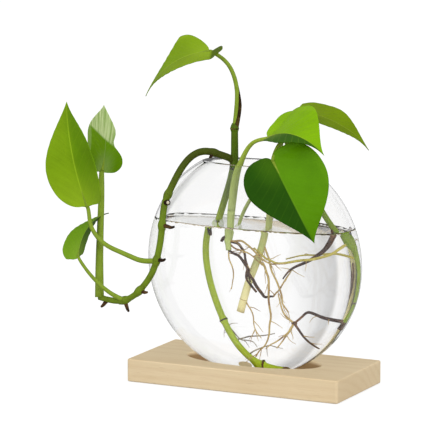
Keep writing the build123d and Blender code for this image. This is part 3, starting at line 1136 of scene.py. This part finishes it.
    def leaves(self) -> None:
        """The four leaves of the cutting."""
        upright = Blade(
            spot(-29.5, 3, 118.6), spot(-68.8, 0, 90.2), (-0.5, -0.35, 0.8), 35, 7, 8,
            Half(0.55, 0.33, 0.06, -0.01, 0.08, (0.0, 0.42), blunt=0.2),
            Half(0.32, 0.34, 0.2, 0.2, 0.25, (0.08, 0.26), -0.4),
            curl=-0.5,
        )
        large = Blade(
            spot(-92.2, -28, 28.5), spot(-105.3, -28, 88.7), (-0.07, -0.96, 0.2), 39, 5, 10,
            Half(0.46, 0.36, 0.2, -0.02, 0.3, (0.1, 0.2), 1.3),
            Half(0.42, 0.35, 0.1, -0.015, 0.28, (0.09, 0.15)),
            crease=0.25,
        )
        rear = Blade(
            spot(-93.2, -8, 47), spot(-93.8, -4, 84.4), (0.75, -0.6, 0.1), 22, 4, 5,
            Half(0.47, 0.12, 0.25, 0.04, 0.32, (0.1, 0.2), waist=0.45),
            Half(0.6, 0.55, 0.3, 0.02, 0.25, (0.14, 0.12)),
        )
        small = Blade(
            spot(-94.8, -34.7, 1), spot(-91, -4, 21.8), (-0.42, -0.6, 0.65), 24, 5.5, 4,
            Half(0.32, 0.3, 0.15, 0.0, 0.3, (0.12, 0.14)),
            Half(0.5, 0.16, 0.3, 0.04, 0.36, (0.08, 0.3)),
        )
        stalks = (
            sprout(
                self.shoot_top, (2.9, 2.5, 2.3, 2.1),
                (-13.8, 7.4, 91), (-15.2, 7, 103), (-19.5, 5.6, 112.5),
            ),
            sprout(
                self.node(8), (3.2, 2.8, 2.4, 2.2),
                (-57, -26, -0.8), (-68, -27.3, 3.2), (-82, -28.3, 8), (-89.8, -29, 17),
            ),
            sprout(self.outer[-1], (5.2, 4.2, 3.4, 2.6), (-88.5, -21, -8), (-90, -17, 10), (-91.5, -12, 34)),
            sprout(
                self.node(11), (3.0, 2.5, 2.0, 1.7),
                (-74, -28.5, -21.7), (-80.5, -31.5, -16.5), (-87.5, -33.7, -9.5),
            ),
        )
        nodes = ("upright_leaf", "large_side_leaf", "rear_side_leaf", "small_side_leaf")
        finishes = (UPRIGHT_LEAF, BRIGHT_LEAF, STREAKED_LEAF, SMALL_LEAF)
        for node, blade, stalk, finish in zip(nodes, (upright, large, rear, small), stalks, finishes):
            LeafPiece(node, Body.VASE, blade, stalk, finish, STALK).build()


@dataclass
class BowedCutting:
    """The cutting that lies along the right wall, with its leaf in front of the glass."""

    line: list[Vector] = field(
        default_factory=lambda: route(
            (49.5, 3, -33), (55.6, 4.5, -24), (58.9, 5, -13), (59.9, 5, 0), (57.5, 4.5, 10.5),
            (51.5, 3.5, 18.5), (44.6, 2.8, 26.5), (38.2, 2.4, 36.5), (30.5, 2, 46), (23.3, 1.7, 54.5),
            (21, 1, 64),
        )
    )
    knot: Vector = field(default_factory=lambda: spot(28, -3, -31))

    def build(self) -> None:
        """Make the cutting."""
        stem = [Strand(self.line, (3.2, 3.4, 3.4, 3.2)), *swellings(self.line, (4,), 5.0, 11.0)]
        show_tubes("wall_stem", stem, BOWED, Body.VASE, ["bowed_stem"], STEM_SIDES)
        blade = Blade(
            spot(24.9, -28, 63.7), spot(51.8, -31, 20), (0.38, -0.9, 0.2), 44, 5, 4,
            Half(0.48, 0.22, 0.2, 0.08, 0.24, (0.07, 0.2), 1.3),
            Half(0.56, 0.3, 0.24, 0.1, 0.36, (0.08, 0.16), 0.8),
            curl=1.0,
        )
        stalk = sprout(
            self.line[-1], (2.8, 2.6, 2.4, 2.0),
            (23, -5.5, 71.5), (25.5, -15, 74), (25.5, -23, 71.5),
        )
        LeafPiece("hanging_leaf", Body.VASE, blade, stalk, SHADED_HALF_LEAF, STALK).build()
        self.roots()

    def roots(self) -> None:
        """Brown roots from the wall to a knot near the middle, and finer ones."""
        stout = [
            sprout(
                halfway(self.line, 5), (3.0, 2.4, 1.6, 0.8),
                (45.5, 0, 11.5), (38, -3, 5.5), (29, -6, 1), (22.5, -6.5, -6),
            ),
            Strand([halfway(self.line, 0), *route((43, 1, -27), (35, -1, -24)), self.knot], (2.2, 1.7, 1.2)),
            sprout(self.knot, (1.5, 1.3, 0.8), (34.5, -3, -39.5), (41, -2.5, -44)),
        ]
        stout = uneven(stout, 0.7, 20)
        across = Vector((MM, 0, 0))
        dry_end = [
            Strand([self.line[0], self.line[0].lerp(self.line[1], 0.45)], (3.5, 3.6)),
            *swellings(self.line, (1,), 4.0, 1.6),
            collar(self.knot - across, self.knot + across, 2.4, 3.0),
        ]
        pale = [
            sprout(
                halfway(self.line, 4), (1.6, 1.5, 1.3, 1.0),
                (50.5, -4, 9.5), (39.5, -6.5, 6), (27.4, -6.6, 3.9), (18.5, -6.6, 2.4), (11.8, -6.6, 4.8),
                (5, -6.6, 10),
            ),
            sprout(
                halfway(self.line, 3), (1.2, 1.0, 0.7),
                (47, 6.5, 8), (37, 7, 6.5), (27, 7.8, 5.5), (19, 7.5, 3),
            ),
        ]
        pale = uneven(pale, 0.5, 90)
        fine = [
            sprout(self.knot, (1.1, 0.9, 0.6), (23, -4, -39), (18, -5, -46)),
            sprout(self.knot, (1.3, 1.0, 0.7), (21.5, -4, -25), (19, -4.5, -15)),
            sprout(self.knot, (1.2, 1.0, 0.6), (25.5, -5, -36), (17.5, -5, -42.5), (11, -4, -47)),
        ]
        fine = uneven(fine, 0.7, 30)
        fine += rootlets(fine + stout[1:] + pale, 14, 9.0, 5)
        show_tubes("wall_roots", stout, BROWN_ROOT, Body.VASE, ["bowed_roots"])
        show_tubes("wall_pale_roots", pale, GOLD_ROOT, Body.VASE)
        show_tubes("wall_dry_end", dry_end, DRY, Body.VASE)
        show_tubes("wall_fine_roots", fine, TAN_ROOT, Body.VASE, sides=FINE_SIDES)


@dataclass
class FrontCutting:
    """The short cutting at the front of the mouth."""

    line: list[Vector] = field(
        default_factory=lambda: route((-9.5, -8.8, 8), (-10.8, -9, 18), (-9.6, -9, 30))
    )

    def build(self) -> None:
        """Make the cutting."""
        stem = [Strand(self.line, (3.4, 3.7, 4.5)), *swellings(self.line, (0,), 4.1, 6.0)]
        show_tubes("front_stem_piece", stem, PALE_STALK, Body.FRONT, ["front_stem"], STEM_SIDES)
        blade = Blade(
            spot(16.6, -15.2, 75), spot(56.1, -28, 69.6), (0.25, -0.36, 0.9), 38, 6.5, 9,
            Half(0.34, 0.42, 0.08, -0.03, 0.12, (0.02, 0.35), 0.1),
            Half(0.58, 0.24, 0.36, 0.16, 0.32, (0.06, 0.18), blunt=0.8),
            curl=0.5,
        )
        stalk = sprout(
            self.line[-1], (4.5, 4.8, 4.2, 2.9, 2.5, 2.3, 2.2, 2.1),
            (-8.2, -9.2, 42), (-5.4, -10.5, 53), (-2.2, -10.8, 61), (1.7, -11.7, 67.5), (7, -13.8, 72),
        )
        LeafPiece("front_leaf", Body.FRONT, blade, stalk, YOUNG_LEAF, PALE_STALK).build()
        self.roots()

    def roots(self) -> None:
        """Dark and pale roots below the stem."""
        start, foot = halfway(self.line, 0), self.line[0]
        stout = [
            sprout(start, (1.7, 1.5, 0.9), (-4, -8, 12), (0, -7.8, 7), (2, -7.8, -1), (3.5, -8, -9)),
            sprout(foot, (1.3, 1.6, 1.8, 1.2), (-4, -8, 5.5), (0, -8, 1), (2, -8, -4), (8, -8, -12)),
        ]
        fine = [
            sprout(start, (1.0, 0.9, 0.5), (-5, -9.7, 9), (4, -9.8, 7), (11.5, -9.8, 1)),
            sprout(foot, (0.9, 0.8, 0.5), (-9, -8.7, 2), (-6.5, -8.4, -6), (-8, -8.2, -14)),
            sprout(
                start, (1.2, 1.1, 0.7),
                (-2, -8.6, 14), (4, -8, 10), (10, -8.6, 5), (17, -9, 2), (25, -9, 3),
            ),
        ]
        stout = uneven(stout, 0.8, 50)
        fine = uneven(fine, 0.8, 40)
        fine += rootlets(fine + stout, 16, 9.0, 12)
        stub = route((-10.4, -9, 15.4), (-13.4, -9.3, 14.6), (-13.8, -9.4, 12.4))
        stout.append(Strand(stub, (2.2, 2.4, 1.6)))
        show_tubes("front_root_cluster", stout, BROWN_ROOT, Body.FRONT, ["front_roots"])
        show_tubes("front_fine_roots", fine, TAN_ROOT, Body.FRONT, sides=FINE_SIDES)


@dataclass
class BackCutting:
    """The longer cutting at the back of the mouth, with a pale cut end."""

    line: list[Vector] = field(
        default_factory=lambda: route(
            (-4, -4.2, -27), (0.5, -3.5, -10), (4, -2.8, -2), (7.5, -2, 8), (9.8, -1.2, 18), (10.4, -1, 27),
            (10.6, -0.9, 36),
        )
    )

    def build(self) -> None:
        """Make the cutting."""
        stem = [Strand(self.line, (4.5, 4.2, 4.0, 3.6))]
        show_tubes("back_stem_piece", stem, CUT_STEM, Body.BACK, ["back_stem"], STEM_SIDES)
        foot = self.line[0]
        ring = foot.lerp(self.line[1], 0.42)
        step = (self.line[1] - foot).normalized() * MM
        rings = [collar(ring - step, ring + step, 4.75, 0.9), collar(foot, foot + step, 4.6, 0.5)]
        show_tubes("cut_rings", rings, AMBER, Body.BACK)
        blade = Blade(
            spot(24, 9, 87), spot(66, 12, 68.6), (0.3, -0.3, 0.9), 20, 4.4, 3,
            Half(0.5, 0.35, 0.28, 0.04, 0.28, (0.05, 0.24)),
            Half(0.5, 0.35, 0.28, 0.04, 0.3, (0.05, 0.24)),
            curl=2.0,
        )
        stalk = sprout(
            self.line[-1], (2.8, 2.6, 2.4, 2.0),
            (10.2, 4.2, 47), (9.8, 11.1, 57), (11.4, 12.2, 70), (16.6, 11.2, 81),
        )
        LeafPiece("back_leaf", Body.BACK, blade, stalk, OLIVE_LEAF, STALK).build()
        aerial = sprout(
            halfway(stalk.points, 1), (2.3, 2.2, 2.1, 1.8),
            (5, 4.4, 47), (-1, 2.6, 39), (-6.5, 2.2, 30), (-10.5, 2, 20.5), (-12, 1.5, 11),
        )
        show_tubes("aerial_root", [aerial], PALE_STALK, Body.BACK, ["back_aerial_root"])
        self.roots()

    def roots(self) -> None:
        """A thick dark root, a long pale one to the floor, and finer ones."""
        bend = halfway(self.line, 1)
        stout = [
            sprout(bend, (2.0, 1.8, 1.0), (6, -2.5, -13), (10, -2, -18), (15, -1.5, -17)),
            sprout(bend, (1.6, 1.9, 1.2), (1, -4.8, -2), (0, -5, -8), (6, -4.5, -15)),
        ]
        fine = [
            sprout(
                halfway(self.line, 2), (1.4, 1.3, 1.1, 0.7),
                (10.5, -3.5, 0), (13, -4, -6), (13, -4.2, -18), (14.5, -3.6, -28), (13, -3, -38),
                (9.5, -2.5, -46), (4, -2, -52.5),
            ),
            sprout(halfway(self.line, 0), (0.9, 0.8, 0.5), (2.5, -4.5, -25), (4, -4.4, -34), (8.5, -4, -41)),
            sprout(
                halfway(self.line, 3), (1.2, 1.1, 0.8),
                (13, -3, 4), (15, -4, -3), (20, -4, -13), (21, -4, -20), (25, -4, -25),
            ),
            Strand(route((15, -1.5, -17), (19, -3, -13), (24, -4, -5), (28, -4, 1)), (1.0, 0.9, 0.5)),
        ]
        stout = uneven(stout, 0.7, 60)
        fine = uneven(fine, 0.7, 70)
        fine += rootlets(fine, 22, 10.0, 3)
        show_tubes("back_root_cluster", stout, BROWN_ROOT, Body.BACK, ["back_roots"])
        show_tubes("back_fine_roots", fine, TAN_ROOT, Body.BACK, sides=FINE_SIDES)


@dataclass
class Block:
    """The wooden block, whose CAD solid is kept."""

    finish: WoodFinish = WoodFinish()

    def build(self) -> None:
        """Dress the block."""
        wood = self.finish.make()
        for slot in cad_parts["wooden_base"].material_slots:
            slot.material = wood
        LOG.info("wooden_base: CAD solid with %s", wood.name)


@dataclass
class Studio:
    """White studio: floor, soft lamps, world and the camera at the photograph's angle."""

    eye: Point = (861.4, -1797.7, 451.56)
    back: Point = (0.43453, -0.88308, 0.17708)
    lens: float = 289.7
    sensor: float = 36.0
    sight: float = 50.0
    aim: Point = (0.0, 0.0, 0.09)
    floor_size: float = 6.0
    floor_drop: float = 0.0002
    floor_grey: float = 0.42
    floor_glow: float = 0.72
    ambient: float = 0.98
    far_ambient: float = 0.55
    gloss_tone: float = 0.34
    flag_tone: float = 0.6

    def build(self) -> None:
        """Set the stage."""
        bpy.context.scene.view_settings.view_transform = "Standard"
        self.camera()
        self.floor()
        self.world()
        self.lamp("key_softbox", (1.5, -1.5, 0.5), 1.1, 13.0)
        self.lamp("fill_softbox", (-1.5, -1.2, 0.9), 1.2, 5.0)

    def camera(self) -> None:
        """Place the camera."""
        data = bpy.data.cameras.new("camera")
        data.lens = self.lens
        data.sensor_width = self.sensor
        data.clip_end = self.sight
        back = Vector(self.back).normalized()
        right = Vector((0.0, 0.0, 1.0)).cross(back).normalized()
        up = back.cross(right)
        camera = bpy.data.objects.new("camera", data)
        turn = Matrix((right, up, back)).transposed().to_4x4()
        camera.matrix_world = Matrix.Translation(Vector(self.eye) * MM) @ turn
        bpy.context.scene.collection.objects.link(camera)
        bpy.context.scene.camera = camera

    def floor(self) -> None:
        """White floor that keeps the object's shadow."""
        shape = bmesh.new()
        bmesh.ops.create_grid(shape, x_segments=1, y_segments=1, size=self.floor_size)
        mesh = to_mesh(shape, "floor")
        material, s = new_material("white_floor")
        matt = s.add("ShaderNodeBsdfDiffuse", None, {"Color": (self.floor_grey,) * 3})
        glow = s.add("ShaderNodeEmission", None, {"Color": WHITE, "Strength": self.seen(s) * self.floor_glow})
        s.finish(s.add("ShaderNodeAddShader", None, {0: matt, 1: glow}))
        mesh.materials.append(material)
        floor = bpy.data.objects.new("floor", mesh)
        floor.location.z = -self.floor_drop
        floor.visible_transmission = False
        floor.visible_glossy = False
        bpy.context.scene.collection.objects.link(floor)

    @staticmethod
    def seen(s: Shader) -> Value:
        """Tell rays that show the surroundings from those that light the object.

        Args:
            s: shader that asks.

        Returns:
            1 for rays to the camera, in gloss and through glass, and 0 for the others.
        """
        node = s.add("ShaderNodeLightPath").socket.node
        names = ("Is Camera Ray", "Is Glossy Ray", "Is Transmission Ray", "Diffuse Depth")
        first, second, third, depth = (Value(s, node.outputs[name]) for name in names)
        return first.maths("MAXIMUM", second).maths("MAXIMUM", third) * depth.maths("LESS_THAN", 0.5)

    def world(self) -> None:
        """White surroundings that gloss shows darker, with a grey flag behind the object on the left."""
        world = bpy.data.worlds.new("studio")
        world.use_nodes = True
        bpy.context.scene.world = world
        s = Shader(world.node_tree)
        way = s.add("ShaderNodeTexCoord", output="Generated")
        back = Vector(self.back).normalized()
        left = back.cross(Vector((0.0, 0.0, 1.0))).normalized()
        ahead, aside = (
            s.add("ShaderNodeVectorMath", {"operation": "DOT_PRODUCT"}, {0: way, 1: tuple(axis)}, "Value")
            for axis in (-back, left)
        )
        flag = aside.ease(0.05, 0.2) * aside.ease(0.27, 0.36, 1.0, 0.0) * ahead.ease(0.0, 0.5)
        tone = 1.02 - flag * (1.0 - self.flag_tone)
        through_ray = s.add("ShaderNodeLightPath", output="Is Transmission Ray")
        gloss_ray = s.add("ShaderNodeLightPath", output="Is Glossy Ray") * (1.0 - through_ray)
        tone = tone * (1.0 - gloss_ray) + gloss_ray * self.gloss_tone
        camera_ray = s.add("ShaderNodeLightPath", output="Is Camera Ray")
        tone = tone.maths("MAXIMUM", camera_ray)
        seen = self.seen(s)
        strength = seen * tone + (1.0 - seen) * ahead.ease(-0.9, 0.7, self.ambient, self.far_ambient)
        glow = s.add("ShaderNodeBackground", None, {"Strength": strength, "Color": WHITE})
        s.add_output("ShaderNodeOutputWorld", glow)

    def lamp(self, name: str, place: Point, size: float, power: float) -> None:
        """Add a soft lamp aimed at the vase.

        Args:
            name: the lamp's name.
            place: its place in metres.
            size: its width in metres.
            power: its power in watts.
        """
        data = bpy.data.lights.new(name, "AREA")
        data.shape = "DISK"
        data.size = size
        data.energy = power
        lamp = bpy.data.objects.new(name, data)
        aim = Vector(self.aim) - Vector(place)
        lamp.matrix_world = Matrix.Translation(place) @ aim.to_track_quat("-Z", "Y").to_matrix().to_4x4()
        lamp.visible_glossy = False
        lamp.visible_transmission = False
        bpy.context.scene.collection.objects.link(lamp)


def main() -> None:
    """Build every sub-assembly in order."""
    logging.basicConfig(level=logging.INFO, format="%(name)s: %(message)s")
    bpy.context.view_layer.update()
    for maker in (Studio, Block, Vase, TrailingCutting, BowedCutting, FrontCutting, BackCutting):
        maker().build()


if __name__ == "__main__":
    main()
